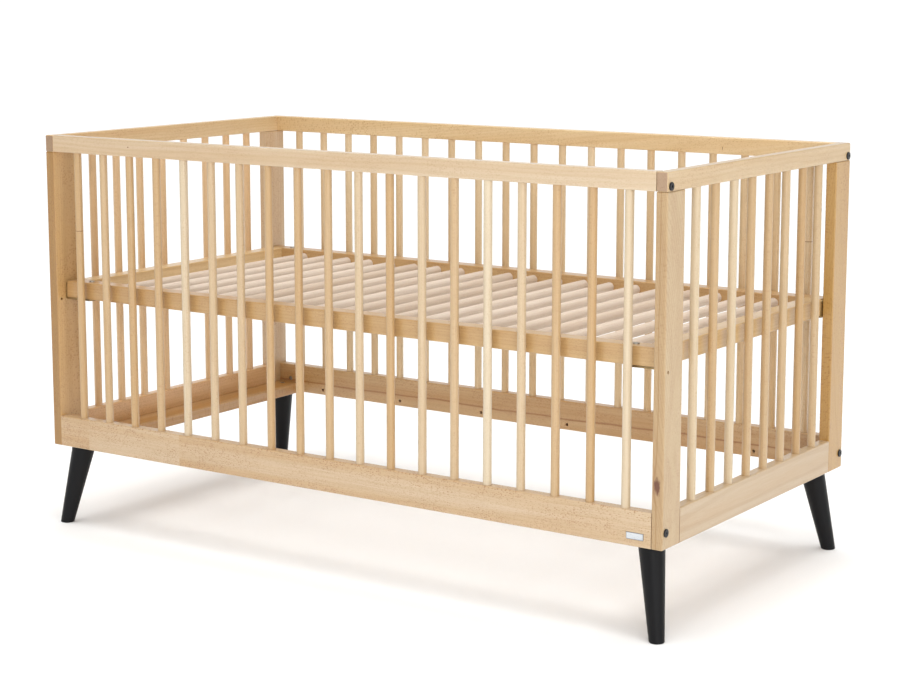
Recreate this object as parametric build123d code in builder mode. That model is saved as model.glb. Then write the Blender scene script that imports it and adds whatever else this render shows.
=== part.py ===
# A free-standing beech crib on four black splayed legs, in millimetres.
# X runs along the crib, Y from its front to its back, and Z up from the floor.
# The origin lies on the floor under the middle of the crib.
import os

from build123d import *

# Outside of the frame
crib_length = 1454.0
crib_depth = 752.0
frame_height = 653.0
leg_height = 169.0

# Timber sections
end_thickness = 22.0
side_thickness = 24.0
post_width = 64.0
top_rail_height = 34.0
bottom_rail_height = 64.0
edge_round = 2.5

# Spindles of the ends and the long sides
spindle_diameter = 16.0
spindle_pitch = 72.0
spindle_margin = 50.0  # least distance from a spindle's axis to the post beside it
spindle_seat = 14.0
glue_clearance = 0.1  # round every glued spindle, rod and dowel

# Glued dowels, and the wood left between a dowel and the edge or bolt beside it
dowel_diameter = 8.0
dowel_seat = 20.0
dowel_web = 8.5
locating_dowel_web = 5.0
locating_dowel_post_seat = 12.0

# Bolts that hold the long sides to the ends, and their barrel nuts
bolt_diameter = 6.0
bolt_clearance = 0.25
bolt_head_diameter = 15.0
bolt_head_height = 2.4
bolt_head_round = 0.8
bolt_socket_width = 4.0
bolt_socket_depth = 1.6
bolt_reach = 42.0  # into the rail, past the end
bolt_hole_spare = 3.0
top_bolt_height = 9.0  # above the underside of the top rail
bottom_bolt_height = 30.0  # above the underside of the frame
barrel_nut_diameter = 10.0
barrel_nut_length = 16.0
bottom_nut_recess = 2.0  # of the nuts that show in the inner faces
barrel_nut_setback = 32.0  # from the end of the rail
barrel_nut_clearance = 0.1
thread_clearance = 0.05

# Plain holes: one through each front post, and a row along each long bottom rail
post_hole_diameter = 6.0
post_hole_height = 311.0
peg_hole_diameter = 7.0
peg_hole_depth = 12.0
peg_hole_height = 12.0
peg_hole_pitch = 224.0
peg_hole_margin = 120.0
peg_hole_shift = 16.0

# Legs, their boards and fixings
leg_top_diameter = 48.6
leg_foot_diameter = 27.8
leg_top_inset = 44.5  # from the outer faces to the leg's axis, at its top
leg_foot_inset = 16.0
leg_foot_round = 2.0
leg_cone_spare = 20.0  # turned length that the level cuts take off
leg_board_width = 64.0
leg_board_thickness = 22.0
leg_board_clearance = 0.3
leg_board_dowel_margin = 50.0
leg_board_dowel_pitch = 170.0
leg_board_dowel_seat = 14.0
leg_insert_diameter = 12.0
hanger_bolt_diameter = 8.0
hanger_bolt_seat = 40.0
hanger_bolt_short = 3.0  # below the top of the insert

# Bed base at its highest setting
base_drop = 305.0  # from the top of the rails to the top of the base
base_rail_width = 36.0
base_rail_height = 35.0
base_side_gap = 1.5
rod_diameter = 20.0
rod_pitch = 63.0
rod_margin = 60.0
rod_seat = 20.0
base_dowel_pitch = 16.0
base_dowel_seat = 25.0

# Steel angle under each corner of the base, and its bolt
bracket_thickness = 3.0
bracket_gap = 0.5
bracket_reach = 70.0
bracket_width = 40.0
bracket_upstand = 36.0
bracket_corner = 6.0
bracket_heel_round = 2.5
bracket_bolt_edge = 12.5
bracket_screw_diameter = 5.0
bracket_screw_edge = 12.0
bracket_screw_pitch = 16.0
bracket_screw_height = 18.0  # above the underside of the base
base_bolt_head_diameter = 12.0
base_bolt_head_height = 2.0
base_bolt_head_round = 1.0

# Places worked out from the sizes above
frame_bottom = leg_height
frame_top = leg_height + frame_height
top_rail_bottom = frame_top - top_rail_height
bottom_rail_top = frame_bottom + bottom_rail_height
end_outer_x = crib_length / 2
end_inner_x = end_outer_x - end_thickness
end_centre_x = end_outer_x - end_thickness / 2
side_outer_y = crib_depth / 2
side_inner_y = side_outer_y - side_thickness
side_centre_y = side_outer_y - side_thickness / 2
post_inner_y = side_outer_y - post_width
post_centre_y = side_outer_y - post_width / 2
top_bolt_z = top_rail_bottom + top_bolt_height
bottom_bolt_z = frame_bottom + bottom_bolt_height
bolt_hole = bolt_diameter + 2 * bolt_clearance
dowel_hole = dowel_diameter + 2 * glue_clearance
spindle_hole = spindle_diameter + 2 * glue_clearance
rod_hole = rod_diameter + 2 * glue_clearance
nut_hole = barrel_nut_diameter + 2 * barrel_nut_clearance
nut_x = end_inner_x - barrel_nut_setback
bottom_nut_depth = side_thickness / 2 + barrel_nut_length / 2
locating_dowel_rise = bolt_hole / 2 + locating_dowel_web + dowel_diameter / 2
leg_top_x = end_outer_x - leg_top_inset
leg_top_y = side_outer_y - leg_top_inset
leg_board_dowel_z = frame_bottom + leg_board_thickness / 2
base_top = frame_top - base_drop
base_bottom = base_top - base_rail_height
base_mid_z = base_bottom + base_rail_height / 2
base_end_x = end_inner_x - bracket_gap - bracket_thickness
base_side_y = side_inner_y - base_side_gap
base_end_inner_x = base_end_x - base_rail_width
base_side_inner_y = base_side_y - base_rail_width
bracket_outer_x = base_end_x + bracket_thickness
bracket_bottom = base_bottom - bracket_thickness
base_bolt_x = bracket_outer_x - bracket_reach + bracket_bolt_edge
base_bolt_y = base_side_y - base_rail_width / 2
base_end_centre_x = base_end_x - base_rail_width / 2

left, right = -1, 1
front, back = -1, 1
end_names = {left: "left", right: "right"}
side_names = {front: "front", back: "back"}
corners = [(end, side) for end in (left, right) for side in (front, back)]


def even_row(clear_length, margin, pitch):
    """Places of a centred row that keeps at least the margin at both ends."""
    count = int((clear_length - 2 * margin) / pitch) + 1
    return [pitch * (i - (count - 1) / 2) for i in range(count)]


side_spindle_x = even_row(2 * end_inner_x, spindle_margin, spindle_pitch)
end_spindle_y = even_row(2 * post_inner_y, spindle_margin, spindle_pitch)
rod_x = even_row(2 * base_end_inner_x, rod_margin, rod_pitch)
peg_x = even_row(2 * end_inner_x, peg_hole_margin, peg_hole_pitch)
board_dowel_y = even_row(2 * post_inner_y, leg_board_dowel_margin, leg_board_dowel_pitch)
post_dowel_y = (
    side_centre_y - bolt_hole / 2 - dowel_web - dowel_diameter / 2,
    post_inner_y + dowel_web + dowel_diameter / 2,
)
rail_dowel_z = (
    frame_bottom + dowel_web + dowel_diameter / 2,
    bottom_rail_top - dowel_web - dowel_diameter / 2,
)
base_dowel_z = (base_mid_z - base_dowel_pitch / 2, base_mid_z + base_dowel_pitch / 2)
frame_bolt_yz = [(side * side_centre_y, z) for side in (front, back) for z in (top_bolt_z, bottom_bolt_z)]
locating_dowel_yz = [(y, z + locating_dowel_rise) for y, z in frame_bolt_yz]


def save(piece, name):
    piece.part.label = name
    export_step(piece.part, f"parts/{name}.step")


def facing_x(x):
    """Plane square to X, with Y and Z as its own axes."""
    return Plane.YZ.offset(x)


def facing_y(y):
    """Plane square to Y, with X and Z as its own axes; its normal is -Y."""
    return Plane.XZ.offset(-y)


def drill(plane, points, diameter, depth):
    """Round holes in the part being built; a negative depth goes against the plane's normal."""
    with BuildSketch(plane) as mouths:
        with Locations(*points):
            Circle(diameter / 2)
    extrude(mouths.sketch, amount=depth, mode=Mode.SUBTRACT)


def make_bars(name, plane, points, diameter, length):
    """A group of equal round bars that all start on one plane."""
    with BuildPart() as bars:
        with BuildSketch(plane):
            with Locations(*points):
                Circle(diameter / 2)
        extrude(amount=length)
    save(bars, name)


def make_end_top_rail(end):
    with BuildPart() as rail:
        with BuildSketch(Plane.XY.offset(top_rail_bottom)):
            with Locations((end * end_centre_x, 0)):
                Rectangle(end_thickness, crib_depth)
        extrude(amount=top_rail_height)
        fillet(rail.edges(), edge_round)
        under = Plane.XY.offset(top_rail_bottom)
        drill(under, [(end * end_centre_x, y) for y in end_spindle_y], spindle_hole, spindle_seat)
        post_dowels = [(end * end_centre_x, side * y) for side in (front, back) for y in post_dowel_y]
        drill(under, post_dowels, dowel_hole, dowel_seat)
        top_bolts = [(y, z) for y, z in frame_bolt_yz if z == top_bolt_z]
        drill(facing_x(end * end_outer_x), top_bolts, bolt_hole, -end * end_thickness)
        top_pins = [(y, top_bolt_z + locating_dowel_rise) for y, z in top_bolts]
        drill(facing_x(end * end_inner_x), top_pins, dowel_hole, end * locating_dowel_post_seat)
    save(rail, f"{end_names[end]}_top_rail")


def make_end_bottom_rail(end):
    with BuildPart() as rail:
        with BuildSketch(Plane.XY.offset(frame_bottom)):
            with Locations((end * end_centre_x, 0)):
                Rectangle(end_thickness, 2 * post_inner_y)
        extrude(amount=bottom_rail_height)
        fillet(rail.edges().filter_by(Axis.Y), edge_round)
        seats = [(end * end_centre_x, y) for y in end_spindle_y]
        drill(Plane.XY.offset(bottom_rail_top), seats, spindle_hole, -spindle_seat)
        for side in (front, back):
            ends = [(end * end_centre_x, z) for z in rail_dowel_z]
            drill(facing_y(side * post_inner_y), ends, dowel_hole, side * dowel_seat)
        board_dowels = [(y, leg_board_dowel_z) for y in board_dowel_y]
        drill(facing_x(end * end_inner_x), board_dowels, dowel_hole, end * leg_board_dowel_seat)
    save(rail, f"{end_names[end]}_bottom_rail")


def make_post(end, side):
    with BuildPart() as post:
        with BuildSketch(Plane.XY.offset(frame_bottom)):
            with Locations((end * end_centre_x, side * post_centre_y)):
                Rectangle(end_thickness, post_width)
        extrude(amount=frame_height - top_rail_height)
        fillet(post.edges(), edge_round)
        dowel_tops = [(end * end_centre_x, side * y) for y in post_dowel_y]
        drill(Plane.XY.offset(top_rail_bottom), dowel_tops, dowel_hole, -dowel_seat)
        rail_dowels = [(end * end_centre_x, z) for z in rail_dowel_z]
        drill(facing_y(side * post_inner_y), rail_dowels, dowel_hole, -side * dowel_seat)
        bolt_line = side * side_centre_y
        outside = facing_x(end * end_outer_x)
        inside = facing_x(end * end_inner_x)
        drill(outside, [(bolt_line, bottom_bolt_z)], bolt_hole, -end * end_thickness)
        pin = (bolt_line, bottom_bolt_z + locating_dowel_rise)
        drill(inside, [pin], dowel_hole, end * locating_dowel_post_seat)
        if side == front:
            spare = (bolt_line, frame_bottom + post_hole_height)
            drill(outside, [spare], post_hole_diameter, -end * end_thickness)
    save(post, f"{end_names[end]}_{side_names[side]}_post")


def drill_rail_ends(bolt_point, pin_point):
    """Bolt and locating dowel holes in both ends of a long rail."""
    for end in (left, right):
        butt = facing_x(end * end_inner_x)
        drill(butt, [bolt_point], bolt_hole, -end * (bolt_reach + bolt_hole_spare))
        drill(butt, [pin_point], dowel_hole, -end * dowel_seat)


def make_side_top_rail(side):
    y = side * side_centre_y
    with BuildPart() as rail:
        with BuildSketch(Plane.XY.offset(top_rail_bottom)):
            with Locations((0, y)):
                Rectangle(2 * end_inner_x, side_thickness)
        extrude(amount=top_rail_height)
        fillet(rail.edges().filter_by(Axis.X), edge_round)
        under = Plane.XY.offset(top_rail_bottom)
        drill(under, [(x, y) for x in side_spindle_x], spindle_hole, spindle_seat)
        nut_depth = top_bolt_height + barrel_nut_length / 2
        drill(under, [(-nut_x, y), (nut_x, y)], nut_hole, nut_depth)
        drill_rail_ends((y, top_bolt_z), (y, top_bolt_z + locating_dowel_rise))
    save(rail, f"{side_names[side]}_top_rail")


def make_side_bottom_rail(side):
    y = side * side_centre_y
    with BuildPart() as rail:
        with BuildSketch(Plane.XY.offset(frame_bottom)):
            with Locations((0, y)):
                Rectangle(2 * end_inner_x, side_thickness)
        extrude(amount=bottom_rail_height)
        fillet(rail.edges().filter_by(Axis.X), edge_round)
        seats = [(x, y) for x in side_spindle_x]
        drill(Plane.XY.offset(bottom_rail_top), seats, spindle_hole, -spindle_seat)
        inner_face = facing_y(side * side_inner_y)
        nuts = [(-nut_x, bottom_bolt_z), (nut_x, bottom_bolt_z)]
        drill(inner_face, nuts, nut_hole, -side * bottom_nut_depth)
        pegs = [(x - side * peg_hole_shift, frame_bottom + peg_hole_height) for x in peg_x]
        drill(inner_face, pegs, peg_hole_diameter, -side * peg_hole_depth)
        drill_rail_ends((y, bottom_bolt_z), (y, bottom_bolt_z + locating_dowel_rise))
    save(rail, f"{side_names[side]}_bottom_rail")


def make_spindles():
    foot = Plane.XY.offset(bottom_rail_top - spindle_seat)
    length = top_rail_bottom - bottom_rail_top + 2 * spindle_seat
    for end in (left, right):
        places = [(end * end_centre_x, y) for y in end_spindle_y]
        make_bars(f"{end_names[end]}_spindles", foot, places, spindle_diameter, length)
    for side in (front, back):
        places = [(x, side * side_centre_y) for x in side_spindle_x]
        make_bars(f"{side_names[side]}_spindles", foot, places, spindle_diameter, length)


def make_end_dowels(end):
    """Dowels that join an end's posts, rails and leg board."""
    post_dowels = [(end * end_centre_x, side * y) for side in (front, back) for y in post_dowel_y]
    with BuildPart() as dowels:
        with BuildSketch(Plane.XY.offset(top_rail_bottom - dowel_seat)):
            with Locations(*post_dowels):
                Circle(dowel_diameter / 2)
        extrude(amount=2 * dowel_seat)
        for side in (front, back):
            with BuildSketch(facing_y(side * (post_inner_y - dowel_seat))):
                with Locations(*[(end * end_centre_x, z) for z in rail_dowel_z]):
                    Circle(dowel_diameter / 2)
            extrude(amount=-side * 2 * dowel_seat)
        with BuildSketch(facing_x(end * (end_inner_x + leg_board_dowel_seat))):
            with Locations(*[(y, leg_board_dowel_z) for y in board_dowel_y]):
                Circle(dowel_diameter / 2)
        extrude(amount=-end * (leg_board_dowel_seat + dowel_seat))
    save(dowels, f"{end_names[end]}_dowels")


def make_locating_dowels(end):
    """Dowels beside the bolts, which stop the long rails from turning."""
    length = locating_dowel_post_seat + dowel_seat
    start = facing_x(end * (end_inner_x + locating_dowel_post_seat))
    make_bars(f"{end_names[end]}_locating_dowels", start, locating_dowel_yz, dowel_diameter, -end * length)


def make_frame_bolts(end):
    outside = facing_x(end * end_outer_x)
    head_top = facing_x(end * (end_outer_x + bolt_head_height))
    with BuildPart() as bolts:
        with BuildSketch(outside):
            with Locations(*frame_bolt_yz):
                Circle(bolt_head_diameter / 2)
        extrude(amount=end * bolt_head_height)
        rims = bolts.edges().group_by(Axis.X)[-1 if end == right else 0]
        fillet(rims, bolt_head_round)
        with BuildSketch(outside):
            with Locations(*frame_bolt_yz):
                Circle(bolt_diameter / 2)
        extrude(amount=-end * (end_thickness + bolt_reach))
        with BuildSketch(head_top):
            with Locations(*frame_bolt_yz):
                RegularPolygon(bolt_socket_width / 2, 6, major_radius=False)
        extrude(amount=-end * bolt_socket_depth, mode=Mode.SUBTRACT)
    save(bolts, f"{end_names[end]}_frame_bolts")


def make_barrel_nuts():
    thread = bolt_diameter + 2 * thread_clearance
    bolt_entry = facing_x(-end_inner_x)
    across = 2 * end_inner_x
    with BuildPart() as top_nuts:
        with BuildSketch(Plane.XY.offset(top_bolt_z - barrel_nut_length / 2)):
            with Locations(*[(end * nut_x, side * side_centre_y) for end, side in corners]):
                Circle(barrel_nut_diameter / 2)
        extrude(amount=barrel_nut_length)
        bolt_points = [(side * side_centre_y, top_bolt_z) for side in (front, back)]
        drill(bolt_entry, bolt_points, thread, across)
    save(top_nuts, "top_barrel_nuts")
    with BuildPart() as bottom_nuts:
        for side in (front, back):
            with BuildSketch(facing_y(side * (side_inner_y + bottom_nut_recess))):
                with Locations((-nut_x, bottom_bolt_z), (nut_x, bottom_bolt_z)):
                    Circle(barrel_nut_diameter / 2)
            extrude(amount=-side * (bottom_nut_depth - bottom_nut_recess))
        bolt_points = [(side * side_centre_y, bottom_bolt_z) for side in (front, back)]
        drill(bolt_entry, bolt_points, thread, across)
    save(bottom_nuts, "bottom_barrel_nuts")


def make_leg_board(end):
    length = 2 * (side_inner_y - leg_board_clearance)
    with BuildPart() as board:
        with BuildSketch(Plane.XY.offset(frame_bottom)):
            with Locations((end * (end_inner_x - leg_board_width / 2), 0)):
                Rectangle(leg_board_width, length)
        extrude(amount=leg_board_thickness)
        inner_edges = board.edges().filter_by(Axis.Y).group_by(Axis.X)[0 if end == right else -1]
        fillet(inner_edges, edge_round)
        inserts = [(end * leg_top_x, side * leg_top_y) for side in (front, back)]
        insert_hole = leg_insert_diameter + 2 * glue_clearance
        drill(Plane.XY.offset(frame_bottom), inserts, insert_hole, leg_board_thickness)
        dowels = [(y, leg_board_dowel_z) for y in board_dowel_y]
        drill(facing_x(end * end_inner_x), dowels, dowel_hole, -end * dowel_seat)
    save(board, f"{end_names[end]}_leg_board")


def make_leg(end, side):
    """A turned, tapered leg on a leaning axis, cut level at the floor and under the frame."""
    foot = Vector(end * (end_outer_x - leg_foot_inset), side * (side_outer_y - leg_foot_inset), 0)
    top = Vector(end * leg_top_x, side * leg_top_y, leg_height)
    lean = (top - foot).normalized()
    turned_length = (top - foot).length
    spare_taper = (leg_top_diameter - leg_foot_diameter) / 2 / turned_length * leg_cone_spare
    blank = Plane(origin=foot - lean * leg_cone_spare, z_dir=lean)
    with BuildPart(blank) as leg:
        Cone(
            leg_foot_diameter / 2 - spare_taper,
            leg_top_diameter / 2 + spare_taper,
            turned_length + 2 * leg_cone_spare,
            align=(Align.CENTER, Align.CENTER, Align.MIN),
        )
        split(bisect_by=Plane.XY, keep=Keep.TOP)
        split(bisect_by=Plane.XY.offset(leg_height), keep=Keep.BOTTOM)
        fillet(leg.edges().group_by(Axis.Z)[0], leg_foot_round)
        hole = hanger_bolt_diameter + 2 * glue_clearance
        drill(Plane.XY.offset(leg_height), [(top.X, top.Y)], hole, -hanger_bolt_seat)
    save(leg, f"{side_names[side]}_{end_names[end]}_leg")


def make_leg_fixings():
    places = [(end * leg_top_x, side * leg_top_y) for end, side in corners]
    with BuildPart() as inserts:
        with BuildSketch(Plane.XY.offset(frame_bottom)):
            with Locations(*places):
                Circle(leg_insert_diameter / 2)
                Circle(hanger_bolt_diameter / 2 + thread_clearance, mode=Mode.SUBTRACT)
        extrude(amount=leg_board_thickness)
    save(inserts, "leg_inserts")
    start = Plane.XY.offset(frame_bottom - hanger_bolt_seat)
    length = hanger_bolt_seat + leg_board_thickness - hanger_bolt_short
    make_bars("leg_hanger_bolts", start, places, hanger_bolt_diameter, length)


def make_base_side_rail(side):
    with BuildPart() as rail:
        with BuildSketch(Plane.XY.offset(base_bottom)):
            with Locations((0, side * base_bolt_y)):
                Rectangle(2 * base_end_x, base_rail_width)
        extrude(amount=base_rail_height)
        fillet(rail.edges().filter_by(Axis.X), edge_round)
        inner_face = facing_y(side * base_side_inner_y)
        drill(inner_face, [(x, base_mid_z) for x in rod_x], rod_hole, -side * rod_seat)
        dowels = [(end * base_end_centre_x, z) for end in (left, right) for z in base_dowel_z]
        drill(inner_face, dowels, dowel_hole, -side * base_dowel_seat)
        bolts = [(end * base_bolt_x, side * base_bolt_y) for end in (left, right)]
        drill(Plane.XY.offset(base_bottom), bolts, bolt_hole, base_rail_height)
    save(rail, f"base_{side_names[side]}_rail")


def make_base_end_rail(end):
    with BuildPart() as rail:
        with BuildSketch(Plane.XY.offset(base_bottom)):
            with Locations((end * base_end_centre_x, 0)):
                Rectangle(base_rail_width, 2 * base_side_inner_y)
        extrude(amount=base_rail_height)
        fillet(rail.edges().filter_by(Axis.Y), edge_round)
        for side in (front, back):
            dowels = [(end * base_end_centre_x, z) for z in base_dowel_z]
            drill(facing_y(side * base_side_inner_y), dowels, dowel_hole, side * base_dowel_seat)
    save(rail, f"base_{end_names[end]}_rail")


def make_base_rods():
    start = facing_y(base_side_inner_y + rod_seat)
    length = 2 * (base_side_inner_y + rod_seat)
    make_bars("base_rods", start, [(x, base_mid_z) for x in rod_x], rod_diameter, length)


def make_base_dowels():
    places = [(end * base_end_centre_x, z) for end in (left, right) for z in base_dowel_z]
    with BuildPart() as dowels:
        for side in (front, back):
            with BuildSketch(facing_y(side * (base_side_inner_y - base_dowel_seat))):
                with Locations(*places):
                    Circle(dowel_diameter / 2)
            extrude(amount=-side * 2 * base_dowel_seat)
    save(dowels, "base_dowels")


def make_base_bolts():
    places = [(end * base_bolt_x, side * base_bolt_y) for end, side in corners]
    with BuildPart() as bolts:
        with BuildSketch(Plane.XY.offset(base_top)):
            with Locations(*places):
                Circle(base_bolt_head_diameter / 2)
        extrude(amount=base_bolt_head_height)
        fillet(bolts.edges().group_by(Axis.Z)[-1], base_bolt_head_round)
        with BuildSketch(Plane.XY.offset(bracket_bottom)):
            with Locations(*places):
                Circle(bolt_diameter / 2)
        extrude(amount=base_top - bracket_bottom)
    save(bolts, "base_bolts")


def make_base_bracket(end, side):
    """A steel angle: its foot lies under the base, its upstand between the base and the post."""
    with BuildPart() as bracket:
        with BuildSketch(facing_y(side * base_side_y)):
            with BuildLine():
                heel = (end * bracket_outer_x, bracket_bottom)
                tip = (end * (bracket_outer_x - bracket_reach), bracket_bottom)
                inner_corner = (end * base_end_x, base_bottom)
                upstand_top = bracket_bottom + bracket_upstand
                Polyline(
                    heel,
                    tip,
                    (tip[0], base_bottom),
                    inner_corner,
                    (end * base_end_x, upstand_top),
                    (heel[0], upstand_top),
                    close=True,
                )
            make_face()
        extrude(amount=side * bracket_width)
        heel_corner = (heel[0], side * base_side_y, heel[1])
        heel_edge = bracket.edges().filter_by(Axis.Y).sort_by_distance(heel_corner)[0]
        fillet(heel_edge, bracket_heel_round)
        tip_edges = bracket.edges().filter_by(Axis.Z).group_by(Axis.X)[0 if end == right else -1]
        top_edges = bracket.edges().filter_by(Axis.X).group_by(Axis.Z)[-1]
        fillet(tip_edges + top_edges, bracket_corner)
        thread = bolt_diameter + 2 * thread_clearance
        bolt_point = (end * base_bolt_x, side * base_bolt_y)
        drill(Plane.XY.offset(bracket_bottom), [bolt_point], thread, bracket_thickness)
        first_screw = base_side_y - bracket_screw_edge
        screw_z = base_bottom + bracket_screw_height
        screws = [(side * y, screw_z) for y in (first_screw, first_screw - bracket_screw_pitch)]
        drill(facing_x(end * bracket_outer_x), screws, bracket_screw_diameter, -end * bracket_thickness)
    save(bracket, f"base_{side_names[side]}_{end_names[end]}_bracket")


os.makedirs("parts", exist_ok=True)
for end in (left, right):
    make_end_top_rail(end)
    make_end_bottom_rail(end)
    make_end_dowels(end)
    make_locating_dowels(end)
    make_frame_bolts(end)
    make_leg_board(end)
    make_base_end_rail(end)
for side in (front, back):
    make_side_top_rail(side)
    make_side_bottom_rail(side)
    make_base_side_rail(side)
for end, side in corners:
    make_post(end, side)
    make_leg(end, side)
    make_base_bracket(end, side)
make_spindles()
make_barrel_nuts()
make_leg_fixings()
make_base_rods()
make_base_dowels()
make_base_bolts()
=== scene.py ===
import math

import bpy
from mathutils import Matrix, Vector


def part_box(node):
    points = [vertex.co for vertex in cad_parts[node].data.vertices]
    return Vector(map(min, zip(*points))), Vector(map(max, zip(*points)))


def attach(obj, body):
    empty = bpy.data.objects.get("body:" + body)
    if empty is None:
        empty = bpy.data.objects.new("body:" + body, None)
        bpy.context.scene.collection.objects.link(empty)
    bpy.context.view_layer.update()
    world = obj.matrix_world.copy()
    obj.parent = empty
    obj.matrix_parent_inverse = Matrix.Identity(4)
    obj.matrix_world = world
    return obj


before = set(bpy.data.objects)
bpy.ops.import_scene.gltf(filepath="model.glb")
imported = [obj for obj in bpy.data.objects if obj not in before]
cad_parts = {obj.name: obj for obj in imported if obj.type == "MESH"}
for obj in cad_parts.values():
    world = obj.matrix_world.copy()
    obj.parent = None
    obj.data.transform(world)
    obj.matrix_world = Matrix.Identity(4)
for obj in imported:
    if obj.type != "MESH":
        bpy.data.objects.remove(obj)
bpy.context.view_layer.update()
mm = 0.001
print("frame loaded:", len(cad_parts), "nodes")

colourA, colourB, colourResult = 6, 7, 2  # the mix node's colour sockets
colourMix = {"data_type": "RGBA"}
colourTint = {"data_type": "RGBA", "blend_type": "MULTIPLY"}
softStep = {"interpolation_type": "SMOOTHSTEP"}
noiseSpan = {"From Min": 0.3, "From Max": 0.7}  # nearly all values of a noise lie between these
axisOrder = {"x": 0, "y": 1, "z": 2}
axisVector = {"x": (1, 0, 0), "y": (0, 1, 0), "z": (0, 0, 1)}
acrossGrain = (0, 1, 1)


def toLinear(hexColour):
    channels = [int(hexColour[i:i + 2], 16) / 255 for i in (1, 3, 5)]
    linear = [c / 12.92 if c <= 0.04045 else ((c + 0.055) / 1.055) ** 2.4 for c in channels]
    return (*linear, 1.0)


def addNode(tree, kind, settings=None, inputs=None):
    node = tree.nodes.new(kind)
    for name, value in (settings or {}).items():
        setattr(node, name, value)
    for socket, value in (inputs or {}).items():
        if isinstance(value, bpy.types.NodeSocket):
            tree.links.new(value, node.inputs[socket])
        else:
            node.inputs[socket].default_value = value
    return node


def newMaterial(name, shaderInputs):
    material = bpy.data.materials.new(name)
    material.use_nodes = True
    tree = material.node_tree
    tree.nodes.clear()
    shader = addNode(tree, "ShaderNodeBsdfPrincipled", None, shaderInputs)
    addNode(tree, "ShaderNodeOutputMaterial", None, {"Surface": shader.outputs["BSDF"]})
    return material, tree, shader


def dress(node, material):
    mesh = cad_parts[node].data
    mesh.materials.clear()
    mesh.materials.append(material)


# Beech under clear satin lacquer: pale straight grain in broad warm bands, with short brown ray flecks
beech = {
    "pale": "#DAC9AF",
    "warm": "#BF9A6A",
    "endGrain": "#A98B6E",
    "ringTint": "#EBE2D1",
    "fibreTint": "#EEE7DC",
    "fleckTint": "#CBA67C",
    "knotTint": "#976326",
    "streakTint": "#D6BBA0",
    "ringStrength": 0.25,
    "fibreStrength": 0.45,
    "fleckStrength": 0.5,
    "fleckFaintest": 0.4,  # share of that strength between the patches
    "roughness": 0.42,
    "glossier": 0.05,  # how far the fibres move the roughness down and up
    "duller": 0.07,
    "coat": 0.75,
    "coatRoughness": 0.25,
    "ior": 1.5,
    "bandTone": 0.16,
    "bandLength": 700 * mm,
    "bandWidth": 26 * mm,
    "waveLength": 420 * mm,
    "waveWidth": 60 * mm,
    "waveHeight": 14 * mm,
    "ringWidth": 4.2 * mm,
    "fibreLength": 70 * mm,
    "fibreWidth": 1.1 * mm,  # coarser than the real fibre, so that it shows
    "fleckSpacing": 4.5 * mm,  # down the grain, from ray to ray
    "fleckReach": 14 * mm,  # outwards from the pith
    "fleckAcross": 1.8 * mm,  # real rays are about half as thick; drawn so that they show
    "patchLength": 90 * mm,
    "patchWidth": 30 * mm,
    "pithRadius": 60 * mm,
    "bumpDepth": 0.08 * mm,
    "bumpStrength": 0.5,
    "endSpan": {"From Min": 0.7, "From Max": 0.95},  # a mark sets in between the two values of its span
    "ringSpan": {"From Min": -0.3, "From Max": 1.0},
    "fibreSpan": {"From Min": 0.4, "From Max": 0.75},
    "fleckSpan": {"From Min": 0.55, "From Max": 0.25},
    "fleckLotSpan": {"From Min": 0.0, "From Max": 0.8},
    "patchSpan": {"From Min": 0.35, "From Max": 0.65},
}
grainTurn = {
    "x": (0, 0, 0),
    "y": (0, 0, -math.pi / 2),
    "z": (0, math.pi / 2, 0),
}  # turns each axis of the crib to X, along the grain


def grainStreaks(tree, grain, length, width, detail):
    drawnOut = addNode(tree, "ShaderNodeVectorMath", {"operation": "MULTIPLY"},
                       {0: grain, 1: (1 / length, 1 / width, 1 / width)})
    return addNode(tree, "ShaderNodeTexNoise", None,
                   {"Vector": drawnOut.outputs[0], "Scale": 1.0, "Detail": detail, "Roughness": 0.55})


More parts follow.
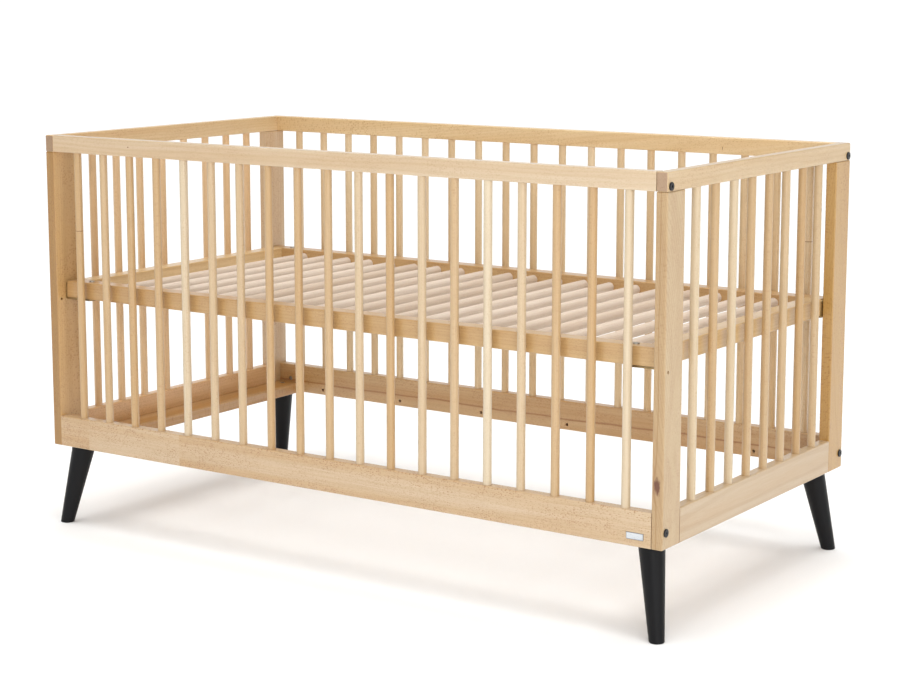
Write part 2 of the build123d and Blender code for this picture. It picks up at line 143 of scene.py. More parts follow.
def beechPattern(tree, shader, grain, fromPith, tone, along, look, marks=()):
    # grain has X along the fibres, fromPith leads from the heart of the trunk to the piece,
    # tone moves it from pale to warm, and each mark is a mask with the tint that it gets
    bands = grainStreaks(tree, grain, look["bandLength"], look["bandWidth"], detail=2.0)
    bandTone = addNode(tree, "ShaderNodeMapRange", softStep,
                       {"Value": bands.outputs["Fac"], **noiseSpan,
                        "To Min": -look["bandTone"], "To Max": look["bandTone"]})
    toned = addNode(tree, "ShaderNodeMath", {"operation": "ADD", "use_clamp": True},
                    {0: bandTone.outputs["Result"], 1: tone})
    ground = addNode(tree, "ShaderNodeMix", colourMix,
                     {"Factor": toned.outputs[0], colourA: toLinear(look["pale"]),
                      colourB: toLinear(look["warm"])})

    # sawn ends drink more lacquer: darker and greyer
    coord = addNode(tree, "ShaderNodeTexCoord")
    facing = addNode(tree, "ShaderNodeVectorMath", {"operation": "DOT_PRODUCT"},
                     {0: coord.outputs["Normal"], 1: axisVector[along]})
    facingSize = addNode(tree, "ShaderNodeMath", {"operation": "ABSOLUTE"}, {0: facing.outputs["Value"]})
    endMask = addNode(tree, "ShaderNodeMapRange", softStep,
                      {"Value": facingSize.outputs[0], **look["endSpan"]})
    sawn = addNode(tree, "ShaderNodeMix", colourMix,
                   {"Factor": endMask.outputs["Result"], colourA: ground.outputs[colourResult],
                    colourB: toLinear(look["endGrain"])})

    # growth rings round the heart, a little wavy down the trunk
    waves = grainStreaks(tree, grain, look["waveLength"], look["waveWidth"], detail=1.5)
    bend = addNode(tree, "ShaderNodeVectorMath", {"operation": "MULTIPLY_ADD"},
                   {0: waves.outputs["Color"], 1: (0, look["waveHeight"], look["waveHeight"]), 2: fromPith})
    across = addNode(tree, "ShaderNodeVectorMath", {"operation": "MULTIPLY_ADD"},
                     {0: grain, 1: acrossGrain, 2: bend.outputs[0]})
    reach = addNode(tree, "ShaderNodeVectorMath", {"operation": "LENGTH"}, {0: across.outputs[0]})
    phase = addNode(tree, "ShaderNodeMath", {"operation": "MULTIPLY"},
                    {0: reach.outputs["Value"], 1: 2 * math.pi / look["ringWidth"]})
    wave = addNode(tree, "ShaderNodeMath", {"operation": "SINE"}, {0: phase.outputs[0]})
    ringLine = addNode(tree, "ShaderNodeMapRange", softStep,
                       {"Value": wave.outputs[0], **look["ringSpan"], "To Max": look["ringStrength"]})
    ringed = addNode(tree, "ShaderNodeMix", colourTint,
                     {"Factor": ringLine.outputs["Result"], colourA: sawn.outputs[colourResult],
                      colourB: toLinear(look["ringTint"])})

    fibres = grainStreaks(tree, grain, look["fibreLength"], look["fibreWidth"], detail=3.0)
    fibreLine = addNode(tree, "ShaderNodeMapRange", None,
                        {"Value": fibres.outputs["Fac"], **look["fibreSpan"],
                         "To Max": look["fibreStrength"]})
    fibred = addNode(tree, "ShaderNodeMix", colourTint,
                     {"Factor": fibreLine.outputs["Result"], colourA: ringed.outputs[colourResult],
                      colourB: toLinear(look["fibreTint"])})

    # rays run outwards from the heart: thin dashes on one face, broader flakes on the next
    straight = addNode(tree, "ShaderNodeVectorMath", {"operation": "MULTIPLY_ADD"},
                       {0: grain, 1: acrossGrain, 2: fromPith})
    rayReach = addNode(tree, "ShaderNodeVectorMath", {"operation": "LENGTH"}, {0: straight.outputs[0]})
    sides = addNode(tree, "ShaderNodeSeparateXYZ", None, {0: straight.outputs[0]})
    rayTurn = addNode(tree, "ShaderNodeMath", {"operation": "ARCTAN2"},
                      {0: sides.outputs["Z"], 1: sides.outputs["Y"]})
    down = addNode(tree, "ShaderNodeSeparateXYZ", None, {0: grain})
    rayPlace = addNode(tree, "ShaderNodeCombineXYZ", None,
                       {"X": down.outputs["X"], "Y": rayReach.outputs["Value"], "Z": rayTurn.outputs[0]})
    raysPerRadian = look["pithRadius"] / look["fleckAcross"]
    rayCells = addNode(tree, "ShaderNodeVectorMath", {"operation": "MULTIPLY"},
                       {0: rayPlace.outputs[0],
                        1: (1 / look["fleckSpacing"], 1 / look["fleckReach"], raysPerRadian)})
    rays = addNode(tree, "ShaderNodeTexVoronoi", None, {"Vector": rayCells.outputs[0], "Scale": 1.0})
    fleckShape = addNode(tree, "ShaderNodeMapRange", softStep,
                         {"Value": rays.outputs["Distance"], **look["fleckSpan"]})
    lots = addNode(tree, "ShaderNodeSeparateColor", None, {"Color": rays.outputs["Color"]})
    fleckLot = addNode(tree, "ShaderNodeMapRange", None,
                       {"Value": lots.outputs["Red"], **look["fleckLotSpan"]})
    patches = grainStreaks(tree, grain, look["patchLength"], look["patchWidth"], detail=1.0)
    patchDepth = addNode(tree, "ShaderNodeMapRange", softStep,
                         {"Value": patches.outputs["Fac"], **look["patchSpan"],
                          "To Min": look["fleckFaintest"] * look["fleckStrength"],
                          "To Max": look["fleckStrength"]})
    fleckDepth = addNode(tree, "ShaderNodeMath", {"operation": "MULTIPLY"},
                         {0: fleckLot.outputs["Result"], 1: patchDepth.outputs["Result"]})
    fleckMask = addNode(tree, "ShaderNodeMath", {"operation": "MULTIPLY"},
                        {0: fleckShape.outputs["Result"], 1: fleckDepth.outputs[0]})
    finished = addNode(tree, "ShaderNodeMix", colourTint,
                       {"Factor": fleckMask.outputs[0], colourA: fibred.outputs[colourResult],
                        colourB: toLinear(look["fleckTint"])})
    for mask, tint in marks:
        finished = addNode(tree, "ShaderNodeMix", colourTint,
                           {"Factor": mask, colourA: finished.outputs[colourResult],
                            colourB: toLinear(tint)})
    tree.links.new(finished.outputs[colourResult], shader.inputs["Base Color"])

    sheen = addNode(tree, "ShaderNodeMapRange", None,
                    {"Value": fibres.outputs["Fac"], **noiseSpan,
                     "To Min": look["roughness"] - look["glossier"],
                     "To Max": look["roughness"] + look["duller"]})
    tree.links.new(sheen.outputs["Result"], shader.inputs["Roughness"])
    bump = addNode(tree, "ShaderNodeBump", {"invert": True},
                   {"Height": fibreLine.outputs["Result"], "Distance": look["bumpDepth"],
                    "Strength": look["bumpStrength"]})
    tree.links.new(bump.outputs["Normal"], shader.inputs["Normal"])


def beechMaterial(name, look):
    return newMaterial(name, {"IOR": look["ior"], "Coat Weight": look["coat"],
                              "Coat Roughness": look["coatRoughness"]})


# Boards: tone 0 is the palest and 1 the warmest, and fromPith leads from the heart of the trunk, which lies
# outside the board and across its grain, to the middle of the board
boardShift = 3.1  # metres along the grain from one board's pattern to the next one's
lotShift = 9.0  # metres of grain in which joined lengths and bars get their own patterns
knotShape = {  # distances from a knot's middle are in half sizes of the knot
    "swerve": {"From Min": 0.6, "From Max": 3.4, "To Min": 0.25, "To Max": 1.0},
    "edge": {"Scale": 1.6, "Detail": 3.0},
    "edgeDepth": 1.1,
    "core": {"From Min": 1.6, "From Max": 1.0},
}
streakWave = {"length": 160 * mm, "width": 60 * mm}
baseLook = {"pale": "#CFAF7D", "warm": "#B88D56", "coat": 0.7, "fleckStrength": 0.35}
boards = {
    "front_top_rail": {
        # painted shade: toneSlope turns this rail warmer and darker towards its left end, where the light
        # falls off
        "along": "x", "tone": 0.45, "toneSlope": -0.25, "fromPith": (0, 60 * mm, 25 * mm),
        "look": {"fleckStrength": 0.3},
        "knots": [{"place": (-0.496, -0.376, 0.807), "size": (0.005, 0.03, 0.0035), "strength": 0.9}],
    },
    "back_top_rail": {
        "along": "x", "tone": 0.4, "fromPith": (0, -60 * mm, 35 * mm), "lean": (0, 0.1, 0),
        "look": {"pale": "#E8CFA2", "warm": "#CB9E60", "fleckStrength": 0.5},
        "knots": [{"place": (0.459, 0.352, 0.8), "size": (0.0022, 0.03, 0.01), "strength": 0.9}],
    },
    "left_top_rail": {
        "along": "y", "tone": 0.4, "fromPith": (0, 55 * mm, 30 * mm),
        # painted shade: this rail's end grain is darker than the other ends, standing in for the light
        # falling off at the crib's left end
        "look": {"pale": "#E2C99E", "warm": "#C7995E", "endGrain": "#9D7E5E"},
    },
    "right_top_rail": {
        "along": "y", "tone": 0.62, "toneSlope": 0.2, "fromPith": (0, -60 * mm, 30 * mm),
        "look": {"pale": "#D8C7A7", "warm": "#BD9964", "fleckStrength": 0.45},
    },
    "front_bottom_rail": {
        # painted shade: toneSlope turns this rail warmer and darker towards its left end, where the light
        # falls off
        "along": "x", "tone": 0.58, "toneSlope": -0.2, "fromPith": (0, 60 * mm, 12 * mm),
        "look": {"fleckStrength": 0.85, "ringStrength": 0.12, "fibreStrength": 0.8,
                 "fibreLength": 110 * mm, "fibreWidth": 1.6 * mm},
        "joints": (-0.625, -0.375), "jointTone": 0.08,
    },
    "back_bottom_rail": {
        "along": "x", "tone": 0.75, "fromPith": (0, -55 * mm, 20 * mm),
        "look": {"pale": "#D6BD95", "warm": "#B68B54"},
        "streak": {"height": -6 * mm, "swing": 14 * mm, "thick": 3.5 * mm},
    },
    "left_bottom_rail": {
        "along": "y", "tone": 0.4, "fromPith": (0, 55 * mm, 15 * mm),
        "look": {"pale": "#DFB98B", "warm": "#D2A56F"},
    },
    "right_bottom_rail": {
        "along": "y", "tone": 0.7, "fromPith": (0, 52 * mm, -12 * mm),
        "look": {"pale": "#CBBEA6", "warm": "#B79568", "fleckStrength": 0.2, "ringStrength": 0.4,
                 "ringWidth": 7 * mm, "bandTone": 0.1},
    },
    "left_front_post": {
        "along": "z", "tone": 0.1, "fromPith": (0, 50 * mm, 35 * mm),
        "look": {"pale": "#CAA36C", "warm": "#A17636"},
        # painted shade: the front and back faces are toned much warmer and darker, standing in for the
        # light falling off at the crib's left end
        "warmerFaces": {"facing": "y", "warmer": 0.85},
    },
    "left_back_post": {
        "along": "z", "tone": 0.7, "fromPith": (0, -40 * mm, 40 * mm),
        "look": {"warm": "#BC935C"},
    },
    "right_front_post": {
        "along": "z", "tone": 0.5, "fromPith": (0, 40 * mm, -35 * mm), "lean": (0, 0.22, 0),
        "look": {"pale": "#C5AD84", "warm": "#B08E62", "ringStrength": 0.4, "fleckStrength": 0.25,
                 "streakTint": "#E9D9C6"},
        # the flat-sawn front and back faces of this post are a little warmer than its quarter-sawn sides
        "warmerFaces": {"facing": "y", "warmer": 0.27},
        "streak": {"height": 1.5 * mm, "swing": 9 * mm, "thick": 1.8 * mm},
        "knots": [{"place": (0.7155, -0.376, 0.281), "size": (0.0155, 0.05, 0.037), "strength": 1.0},
                  {"place": (0.727, -0.361, 0.32), "size": (0.02, 0.004, 0.008), "strength": 0.3}],
    },
    "right_back_post": {
        "along": "z", "tone": 0.5, "fromPith": (0, 38 * mm, 45 * mm), "lean": (0, 0, 0.15),
        "look": {"pale": "#BF9958", "warm": "#AE823E"},
    },
    "left_leg_board": {
        "along": "y", "tone": 0.95, "fromPith": (0, 30 * mm, 40 * mm),
        "look": {"warm": "#A97A3A"},
    },
    "right_leg_board": {
        "along": "y", "tone": 0.9, "fromPith": (0, -30 * mm, 44 * mm),
        "look": {"warm": "#B48A57"},
    },
    "base_front_rail": {
        # painted shade: toneSlope turns this rail warmer and darker towards its left end, where the light
        # falls off
        "along": "x", "tone": 0.6, "toneSlope": -0.3, "fromPith": (0, 48 * mm, 30 * mm),
        "look": baseLook,
    },
    "base_back_rail": {
        "along": "x", "tone": 0.7, "fromPith": (0, -48 * mm, 26 * mm),
        "look": baseLook,
    },
    "base_left_rail": {
        "along": "y", "tone": 0.2, "fromPith": (0, 50 * mm, -26 * mm),
        "look": {**baseLook, "pale": "#DCBC8A"},
    },
    "base_right_rail": {
        "along": "y", "tone": 0.3, "fromPith": (0, 50 * mm, 28 * mm),
        "look": {**baseLook, "pale": "#D4B583", "warm": "#BB925A"},
    },
}


def lacqueredBoard(node, seed, board):
    look = {**beech, **board.get("look", {})}
    low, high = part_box(node)
    material, tree, shader = beechMaterial("lacqueredBeech." + node, look)
    coord = addNode(tree, "ShaderNodeTexCoord")
    place = coord.outputs["Object"]
    marks = []
    for knot in board.get("knots", ()):  # the grain swerves round each knot
        fromKnot = addNode(tree, "ShaderNodeVectorMath", {"operation": "SUBTRACT"},
                           {0: place, 1: knot["place"]})
        spread = addNode(tree, "ShaderNodeVectorMath", {"operation": "DIVIDE"},
                         {0: fromKnot.outputs[0], 1: Vector(knot["size"]) / 2})
        away = addNode(tree, "ShaderNodeVectorMath", {"operation": "LENGTH"}, {0: spread.outputs[0]})
        squeeze = addNode(tree, "ShaderNodeMapRange", softStep,
                          {"Value": away.outputs["Value"], **knotShape["swerve"]})
        swerved = addNode(tree, "ShaderNodeVectorMath", {"operation": "MULTIPLY_ADD"},
                          {0: fromKnot.outputs[0], 1: squeeze.outputs["Result"], 2: knot["place"]})
        ragged = addNode(tree, "ShaderNodeTexNoise", None,
                         {"Vector": spread.outputs[0], **knotShape["edge"]})
        ring = addNode(tree, "ShaderNodeMath", {"operation": "MULTIPLY_ADD"},
                       {0: ragged.outputs["Fac"], 1: knotShape["edgeDepth"], 2: away.outputs["Value"]})
        core = addNode(tree, "ShaderNodeMapRange", softStep,
                       {"Value": ring.outputs[0], **knotShape["core"], "To Max": knot["strength"]})
        marks.append((core.outputs["Result"], look["knotTint"]))
        place = swerved.outputs[0]
    centred = addNode(tree, "ShaderNodeVectorMath", {"operation": "SUBTRACT"},
                      {0: place, 1: (low + high) / 2})
    turned = addNode(tree, "ShaderNodeMapping", {"vector_type": "POINT"},
                     {"Vector": centred.outputs[0], "Rotation": grainTurn[board["along"]]})
    leaning = addNode(tree, "ShaderNodeMapping", {"vector_type": "POINT"},
                      {"Vector": turned.outputs[0], "Rotation": board.get("lean", (0, 0, 0))})
    parts = addNode(tree, "ShaderNodeSeparateXYZ", None, {0: turned.outputs[0]})
    # toneSlope warms the board steadily along its grain; on the front rails this is painted shade
    tone = addNode(tree, "ShaderNodeMath", {"operation": "MULTIPLY_ADD"},
                   {0: parts.outputs["X"], 1: board.get("toneSlope", 0), 2: board["tone"]}).outputs[0]
    grain = addNode(tree, "ShaderNodeVectorMath", {"operation": "ADD"},
                    {0: leaning.outputs[0], 1: (seed * boardShift, 0, 0)}).outputs[0]
    if "warmerFaces" in board:  # faces square to the given axis get a warmer, darker tone
        warmerFaces = board["warmerFaces"]
        facing = addNode(tree, "ShaderNodeVectorMath", {"operation": "DOT_PRODUCT"},
                         {0: coord.outputs["Normal"], 1: axisVector[warmerFaces["facing"]]})
        facingSize = addNode(tree, "ShaderNodeMath", {"operation": "ABSOLUTE"},
                             {0: facing.outputs["Value"]})
        tone = addNode(tree, "ShaderNodeMath", {"operation": "MULTIPLY_ADD"},
                       {0: facingSize.outputs[0], 1: warmerFaces["warmer"], 2: tone}).outputs[0]
    if "joints" in board:  # lengths of other boards, finger-jointed end to end
        piece = 0.0
        for joint in board["joints"]:
            beyond = addNode(tree, "ShaderNodeMath", {"operation": "GREATER_THAN"},
                             {0: parts.outputs["X"], 1: joint})
            piece = addNode(tree, "ShaderNodeMath", {"operation": "ADD"},
                            {0: beyond.outputs[0], 1: piece}).outputs[0]
        lot = addNode(tree, "ShaderNodeTexWhiteNoise", {"noise_dimensions": "1D"}, {"W": piece})
        grain = addNode(tree, "ShaderNodeVectorMath", {"operation": "MULTIPLY_ADD"},
                        {0: lot.outputs["Color"], 1: (lotShift, 0, 0), 2: grain}).outputs[0]
        tone = addNode(tree, "ShaderNodeMath", {"operation": "MULTIPLY_ADD"},
                       {0: lot.outputs["Value"], 1: board["jointTone"], 2: tone}).outputs[0]
    if "streak" in board:  # a wavy line of darker heartwood
        streak = board["streak"]
        swing = grainStreaks(tree, grain, streakWave["length"], streakWave["width"], detail=2.0)
        height = addNode(tree, "ShaderNodeMath", {"operation": "MULTIPLY_ADD"},
                         {0: swing.outputs["Fac"], 1: streak["swing"], 2: parts.outputs["Z"]})
        offLine = addNode(tree, "ShaderNodeMath", {"operation": "SUBTRACT"},
                          {0: height.outputs[0], 1: streak["height"] + streak["swing"] / 2})
        offSize = addNode(tree, "ShaderNodeMath", {"operation": "ABSOLUTE"}, {0: offLine.outputs[0]})
        line = addNode(tree, "ShaderNodeMapRange", softStep,
                       {"Value": offSize.outputs[0], "From Min": streak["thick"], "From Max": 0.0})
        marks.append((line.outputs["Result"], look["streakTint"]))
    beechPattern(tree, shader, grain, board["fromPith"], tone, board["along"], look, marks)
    dress(node, material)


for seed, (node, board) in enumerate(boards.items()):
    lacqueredBoard(node, seed, board)
print("boards finished:", len(boards))

# Turned beech spindles: each is cut from another board, so the tone jumps from one to the next
spindles = {
    "front_spindles": {
        "row": "x", "seed": 453633, "tones": (0.06, 1.1), "joints": [(0, 627 * mm)],
        "pale": "#D9CBB1", "warm": "#BF9C6C",
    },
    "back_spindles": {
        "row": "x", "seed": 99214, "tones": (0.1, 0.7), "joints": [(18, 622 * mm)],
        "pale": "#E5D2B0", "warm": "#C79F66",
    },
    "left_spindles": {
        "row": "y", "seed": 34811, "tones": (0.1, 0.6),
        "pale": "#E9CEA6", "warm": "#CD9E64",
    },
    "right_spindles": {
        "row": "y", "seed": 303476, "tones": (0.1, 1.0),
        "pale": "#D5C6AA", "warm": "#B99665",
    },
}
spindleLook = {**beech, "fleckStrength": 0.22, "ringStrength": 0.18, "bandTone": 0.08}
spindlePitch = 72 * mm
pithSpread = 90 * mm  # a bar's heart lies anywhere in a square of this side
lotLayer = 0.5  # the third number of a bar's lot, after its own number and the seed
halfStep = 0.5  # numbers closer than this mean the same bar
jointLine = {"thick": 1.2 * mm, "tint": "#A08468"}  # glue line of a finger joint, drawn wide enough to show


def turnedBars(node, rowAxis, lengthAxis, pitch, seed, look, tones=(0, 1), joints=()):
    low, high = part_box(node)
    material, tree, shader = beechMaterial("turnedBeech." + node, look)
    radius = min(high - low) / 2
    row, length = axisOrder[rowAxis], axisOrder[lengthAxis]
    depth = sum(axisOrder.values()) - row - length  # the axis that is left
    coord = addNode(tree, "ShaderNodeTexCoord")
    split = addNode(tree, "ShaderNodeSeparateXYZ", None, {0: coord.outputs["Object"]})
    start = addNode(tree, "ShaderNodeMath", {"operation": "SUBTRACT"},
                    {0: split.outputs[row], 1: low[row] + radius})
    steps = addNode(tree, "ShaderNodeMath", {"operation": "DIVIDE"}, {0: start.outputs[0], 1: pitch})
    number = addNode(tree, "ShaderNodeMath", {"operation": "ROUND"}, {0: steps.outputs[0]})
    fromAxis = addNode(tree, "ShaderNodeMath", {"operation": "MULTIPLY_ADD"},
                       {0: number.outputs[0], 1: -pitch, 2: start.outputs[0]})
    inDepth = addNode(tree, "ShaderNodeMath", {"operation": "SUBTRACT"},
                      {0: split.outputs[depth], 1: (low[depth] + high[depth]) / 2})
    local = addNode(tree, "ShaderNodeCombineXYZ", None,
                    {"X": split.outputs[length], "Y": fromAxis.outputs[0], "Z": inDepth.outputs[0]})
    ticket = addNode(tree, "ShaderNodeCombineXYZ", None,
                     {"X": number.outputs[0], "Y": seed, "Z": lotLayer})
    lot = addNode(tree, "ShaderNodeTexWhiteNoise", {"noise_dimensions": "3D"},
                  {"Vector": ticket.outputs[0]})
    apart = addNode(tree, "ShaderNodeVectorMath", {"operation": "MULTIPLY_ADD"},
                    {0: lot.outputs["Color"], 1: (lotShift, 0, 0), 2: local.outputs[0]})
    fromPith = addNode(tree, "ShaderNodeVectorMath", {"operation": "MULTIPLY_ADD"},
                       {0: lot.outputs["Color"], 1: (0, pithSpread, pithSpread),
                        2: (0, -pithSpread / 2, -pithSpread / 2)})
    tone = addNode(tree, "ShaderNodeMapRange", None,
                   {"Value": lot.outputs["Value"], "To Min": tones[0], "To Max": tones[1]})
    marks = []
    for bar, height in joints:
        sameBar = addNode(tree, "ShaderNodeMath", {"operation": "COMPARE"},
                          {0: number.outputs[0], 1: bar, 2: halfStep})
        atLine = addNode(tree, "ShaderNodeMath", {"operation": "COMPARE"},
                         {0: split.outputs[length], 1: height, 2: jointLine["thick"] / 2})
        onJoint = addNode(tree, "ShaderNodeMath", {"operation": "MULTIPLY"},
                          {0: sameBar.outputs[0], 1: atLine.outputs[0]})
        marks.append((onJoint.outputs[0], jointLine["tint"]))
    beechPattern(tree, shader, apart.outputs[0], fromPith.outputs[0], tone.outputs["Result"],
                 lengthAxis, look, marks)
    dress(node, material)


for node, spindle in spindles.items():
    look = {**spindleLook, "pale": spindle["pale"], "warm": spindle["warm"]}
    turnedBars(node, spindle["row"], "z", spindlePitch, spindle["seed"], look,
               spindle["tones"], spindle.get("joints", ()))
print("spindles finished")

# Base rods of pale wood, turned and sanded but not lacquered: pinkish white, matt, with a faint grain
rods = {
    "pitch": 63 * mm,
    "seed": 23,
    "look": {
        **beech,
        "pale": "#DBCCBD",
        "warm": "#CDBAA7",
        "ringStrength": 0.2,
        "fibreStrength": 0.35,
        "fleckStrength": 0.15,
        "roughness": 0.62,
        "coat": 0.0,
    },
}
turnedBars("base_rods", "x", "y", rods["pitch"], rods["seed"], rods["look"])
print("rods finished")

# Glued dowels: raw compressed beech, hidden in their holes
dowels = {
    "tone": 0.5,
    "fromPith": (0, 40 * mm, 40 * mm),
    "look": {"coat": 0.0, "roughness": 0.65},
}
dowelsAlong = {
    "left_dowels": "z",
    "right_dowels": "z",
    "left_locating_dowels": "x",
    "right_locating_dowels": "x",
    "base_dowels": "y",
}
for node, along in dowelsAlong.items():
    lacqueredBoard(node, 0, {**dowels, "along": along})
print("dowels finished")

# Turned legs in black satin lacquer: the sprayed film is smooth, with a hint of the grain under it
blackLegs = {
    "film": "#09090B",
    "filmLight": "#101013",
    "roughness": 0.42,
    "glossier": 0.04,
    "duller": 0.06,
    "ior": 1.45,
    "mirror": 0.25,  # the matting powder halves the mirror part
    "grainLength": 60 * mm,
    "grainWidth": 1.6 * mm,
    "bumpDepth": 0.06 * mm,
    "bumpStrength": 0.4,
}
legMaterial, tree, shader = newMaterial("blackSatinLacquer", {"IOR": blackLegs["ior"],
                                                              "Specular IOR Level": blackLegs["mirror"]})
coord = addNode(tree, "ShaderNodeTexCoord")
upright = addNode(tree, "ShaderNodeMapping", None,
                  {"Vector": coord.outputs["Object"], "Rotation": grainTurn["z"]})
legGrain = grainStreaks(tree, upright.outputs[0], blackLegs["grainLength"], blackLegs["grainWidth"],
                        detail=3.0)
film = addNode(tree, "ShaderNodeMix", colourMix,
               {"Factor": legGrain.outputs["Fac"], colourA: toLinear(blackLegs["film"]),
                colourB: toLinear(blackLegs["filmLight"])})
tree.links.new(film.outputs[colourResult], shader.inputs["Base Color"])
filmSheen = addNode(tree, "ShaderNodeMapRange", None,
                    {"Value": legGrain.outputs["Fac"], **noiseSpan,
                     "To Min": blackLegs["roughness"] - blackLegs["glossier"],
                     "To Max": blackLegs["roughness"] + blackLegs["duller"]})
tree.links.new(filmSheen.outputs["Result"], shader.inputs["Roughness"])
legBump = addNode(tree, "ShaderNodeBump", None,
                  {"Height": legGrain.outputs["Fac"], "Distance": blackLegs["bumpDepth"],
                   "Strength": blackLegs["bumpStrength"]})
tree.links.new(legBump.outputs["Normal"], shader.inputs["Normal"])
for side in ("front", "back"):
    for end in ("left", "right"):
        dress(f"{side}_{end}_leg", legMaterial)
print("legs finished")

# Steel fittings: black-coated bolts, bright zinc-plated nuts, duller bolts in the base, yellow zinc angles
fittings = {
    "blackOxideSteel": {
        "colours": ("#1A1A1C", "#2B2B2E"), "metallic": 0.55, "roughness": 0.38, "grit": 0.6 * mm,
        "nodes": ("left_frame_bolts", "right_frame_bolts"),
    },
    "zincPlatedSteel": {
        "colours": ("#B4B7BA", "#8F9396"), "metallic": 1.0, "roughness": 0.34, "grit": 1.2 * mm,
        "nodes": ("top_barrel_nuts", "bottom_barrel_nuts", "leg_inserts", "leg_hanger_bolts"),
    },
    "dullZincSteel": {
        "colours": ("#B9B4AB", "#9C9890"), "metallic": 1.0, "roughness": 0.45, "grit": 1.2 * mm,
        "nodes": ("base_bolts",),
    },
    "yellowZincSteel": {
        "colours": ("#AD9468", "#8B7755"), "metallic": 1.0, "roughness": 0.45, "grit": 5 * mm,
        "nodes": ("base_front_left_bracket", "base_front_right_bracket",
                  "base_back_left_bracket", "base_back_right_bracket"),
    },
}
metalSheen = {"glossier": 0.08, "duller": 0.1}  # how far grit and brushing move the roughness down and up
for name, fitting in fittings.items():
    material, tree, shader = newMaterial(name, {"Metallic": fitting["metallic"]})
    coord = addNode(tree, "ShaderNodeTexCoord")
    grit = addNode(tree, "ShaderNodeTexNoise", None,
                   {"Vector": coord.outputs["Object"], "Scale": 1 / fitting["grit"], "Detail": 3.0})
    plating = addNode(tree, "ShaderNodeMix", colourMix,
                      {"Factor": grit.outputs["Fac"], colourA: toLinear(fitting["colours"][0]),
                       colourB: toLinear(fitting["colours"][1])})
    tree.links.new(plating.outputs[colourResult], shader.inputs["Base Color"])
    polish = addNode(tree, "ShaderNodeMapRange", None,
                     {"Value": grit.outputs["Fac"], **noiseSpan,
                      "To Min": fitting["roughness"] - metalSheen["glossier"],
                      "To Max": fitting["roughness"] + metalSheen["duller"]})
    tree.links.new(polish.outputs["Result"], shader.inputs["Roughness"])
    for node in fitting["nodes"]:
        dress(node, material)
print("fittings finished")

# Bare plate of brushed steel on the front bottom rail: bright and streaky, with a darker raised rim
plate = {
    "centre": (673.5 * mm, 188 * mm),
    "size": (34 * mm, 12.4 * mm),
    "thick": 0.9 * mm,
    "rim": 0.9 * mm,
    "recess": 0.3 * mm,
    "edgeRound": 0.25 * mm,
    "edgeSteps": 2,
    "smoothAngle": 35,
    "face": "#CFD3D8",
    "rimColour": "#868D95",
    "roughness": 0.3,
    "brushLength": 8 * mm,
    "brushWidth": 0.4 * mm,
}
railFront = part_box("front_bottom_rail")[0].y
plateX, plateZ = plate["centre"]
plateWidth, plateHeight = plate["size"]
frontFacing = -0.9  # the Y of a normal lies below this on the front face alone
bpy.ops.object.select_all(action="DESELECT")
bpy.ops.mesh.primitive_cube_add(size=1, location=(plateX, railFront - plate["thick"] / 2, plateZ))
plateObject = bpy.context.object
plateObject.name = "bareFrontPlate"
plateObject.scale = (plateWidth, plate["thick"], plateHeight)
bpy.ops.object.transform_apply(location=True, rotation=True, scale=True)
plateMesh = plateObject.data
bpy.ops.object.mode_set(mode="EDIT")
bpy.ops.mesh.select_all(action="DESELECT")
bpy.ops.mesh.select_mode(type="FACE")
bpy.ops.object.mode_set(mode="OBJECT")
for face in plateMesh.polygons:
    face.select = face.normal.y < frontFacing
bpy.ops.object.mode_set(mode="EDIT")
bpy.ops.mesh.inset(thickness=plate["rim"])
bpy.ops.mesh.inset(thickness=plate["recess"], depth=-plate["recess"])
bpy.ops.object.mode_set(mode="OBJECT")
edgeBevel = plateObject.modifiers.new("roundedEdges", "BEVEL")
edgeBevel.width = plate["edgeRound"]
edgeBevel.segments = plate["edgeSteps"]
edgeBevel.limit_method = "ANGLE"
bpy.ops.object.modifier_apply(modifier=edgeBevel.name)
bpy.ops.object.shade_smooth_by_angle(angle=math.radians(plate["smoothAngle"]))
plateMaterial, tree, shader = newMaterial("brushedSteelPlate", {"Metallic": 1.0})
coord = addNode(tree, "ShaderNodeTexCoord")
fromCentre = addNode(tree, "ShaderNodeVectorMath", {"operation": "SUBTRACT"},
                     {0: coord.outputs["Object"], 1: (plateX, railFront, plateZ)})
brush = grainStreaks(tree, fromCentre.outputs[0], plate["brushLength"], plate["brushWidth"], detail=2.0)
polish = addNode(tree, "ShaderNodeMapRange", None,
                 {"Value": brush.outputs["Fac"], **noiseSpan,
                  "To Min": plate["roughness"] - metalSheen["glossier"],
                  "To Max": plate["roughness"] + metalSheen["duller"]})
tree.links.new(polish.outputs["Result"], shader.inputs["Roughness"])
reach = addNode(tree, "ShaderNodeVectorMath", {"operation": "ABSOLUTE"}, {0: fromCentre.outputs[0]})
insideRim = (plateWidth / 2 - plate["rim"], 0, plateHeight / 2 - plate["rim"])
past = addNode(tree, "ShaderNodeVectorMath", {"operation": "SUBTRACT"}, {0: reach.outputs[0], 1: insideRim})
sides = addNode(tree, "ShaderNodeSeparateXYZ", None, {0: past.outputs[0]})
outer = addNode(tree, "ShaderNodeMath", {"operation": "MAXIMUM"},
                {0: sides.outputs["X"], 1: sides.outputs["Z"]})
onRim = addNode(tree, "ShaderNodeMath", {"operation": "GREATER_THAN"}, {0: outer.outputs[0], 1: 0.0})
steel = addNode(tree, "ShaderNodeMix", colourMix,
                {"Factor": onRim.outputs[0], colourA: toLinear(plate["face"]),
                 colourB: toLinear(plate["rimColour"])})
tree.links.new(steel.outputs[colourResult], shader.inputs["Base Color"])
plateMesh.materials.append(plateMaterial)
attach(plateObject, "frame")
print("plate finished")

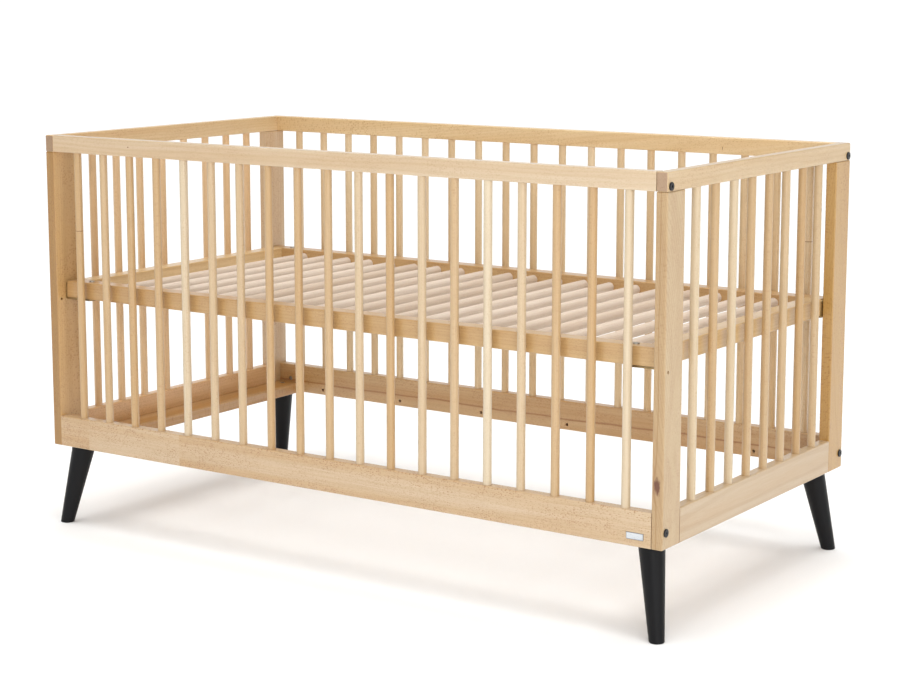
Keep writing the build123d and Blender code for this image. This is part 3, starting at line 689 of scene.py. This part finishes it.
# Plain pale floor
floorLook = {"colour": "#F8F8F7", "roughness": 0.85, "size": 400.0}
bpy.ops.object.select_all(action="DESELECT")
bpy.ops.mesh.primitive_plane_add(size=floorLook["size"], location=(0, 0, 0))
floor = bpy.context.object
floor.name = "paleFloor"
floorMaterial, tree, shader = newMaterial("paleFloorPaper", {"Base Color": toLinear(floorLook["colour"]),
                                                             "Roughness": floorLook["roughness"]})
floor.data.materials.append(floorMaterial)
print("floor laid")

# Soft studio light: a white wall behind, three big panels, and light from above
surround = {
    "backWall": 1.1,
    "otherWalls": 0.35,
    "ceiling": 0.1,
    "wallTurn": {"From Min": 0.0, "From Max": 0.7},  # from the other walls to the one behind
    "wallTop": 0.1,  # both heights as the sine of the angle seen from the crib
    "ceilingEdge": 0.55,
    "behind": (-0.56, 0.83, 0),
}
panels = {
    "frontPanel": {"place": (-1.6, -6.4, 2.4), "aim": (0, 0, 0.5), "size": 3.2, "power": 38},
    "cameraPanel": {"place": (3.8, -4.9, 2.4), "aim": (0, 0, 0.5), "size": 3.0, "power": 125},
    "rightPanel": {"place": (6.6, -2.0, 2.4), "aim": (0, 0, 0.5), "size": 2.4, "power": 92},
}
skylight = {"irradiance": 3.3, "spread": 60}  # keeps the floor pale to its far edge
world = bpy.data.worlds.new("studioSurround")
bpy.context.scene.world = world
world.use_nodes = True
tree = world.node_tree
tree.nodes.clear()
outward = addNode(tree, "ShaderNodeTexCoord")
upward = addNode(tree, "ShaderNodeSeparateXYZ", None, {0: outward.outputs["Generated"]})
behind = addNode(tree, "ShaderNodeVectorMath", {"operation": "DOT_PRODUCT"},
                 {0: outward.outputs["Generated"], 1: surround["behind"]})
walls = addNode(tree, "ShaderNodeMapRange", softStep,
                {"Value": behind.outputs["Value"], **surround["wallTurn"],
                 "To Min": surround["otherWalls"], "To Max": surround["backWall"]})
fade = addNode(tree, "ShaderNodeMapRange", softStep,
               {"Value": upward.outputs["Z"],
                "From Min": surround["wallTop"], "From Max": surround["ceilingEdge"],
                "To Min": walls.outputs["Result"], "To Max": surround["ceiling"]})
backdrop = addNode(tree, "ShaderNodeBackground", None,
                   {"Color": (1, 1, 1, 1), "Strength": fade.outputs["Result"]})
addNode(tree, "ShaderNodeOutputWorld", None, {"Surface": backdrop.outputs[0]})
for name, panel in panels.items():
    light = bpy.data.lights.new(name, "AREA")
    light.size = panel["size"]
    light.energy = panel["power"]
    lamp = bpy.data.objects.new(name, light)
    bpy.context.scene.collection.objects.link(lamp)
    lamp.location = panel["place"]
    beam = Vector(panel["aim"]) - Vector(panel["place"])
    lamp.rotation_euler = beam.to_track_quat("-Z", "Y").to_euler()

overhead = bpy.data.lights.new("skylight", "SUN")
overhead.energy = skylight["irradiance"]
overhead.angle = math.radians(skylight["spread"])
bpy.context.scene.collection.objects.link(bpy.data.objects.new("skylight", overhead))
print("lights set:", len(panels) + 1)

# Camera at the photograph's angle, in metres and degrees
photoCamera = {
    "place": (2.348, -3.386, 1.140),
    "turn": 34.41,
    "pitch": -8.715,
    "lens": 81.76,
    "shiftY": -0.05,
    "farthest": 500,
}
cameraData = bpy.data.cameras.new("photoCamera")
cameraData.lens = photoCamera["lens"]
cameraData.shift_y = photoCamera["shiftY"]
cameraData.clip_end = photoCamera["farthest"]
camera = bpy.data.objects.new("photoCamera", cameraData)
bpy.context.scene.collection.objects.link(camera)
camera.location = photoCamera["place"]
camera.rotation_euler = (math.radians(90 + photoCamera["pitch"]), 0, math.radians(photoCamera["turn"]))
bpy.context.scene.camera = camera
bpy.context.scene.view_settings.view_transform = "Standard"
print("camera set")
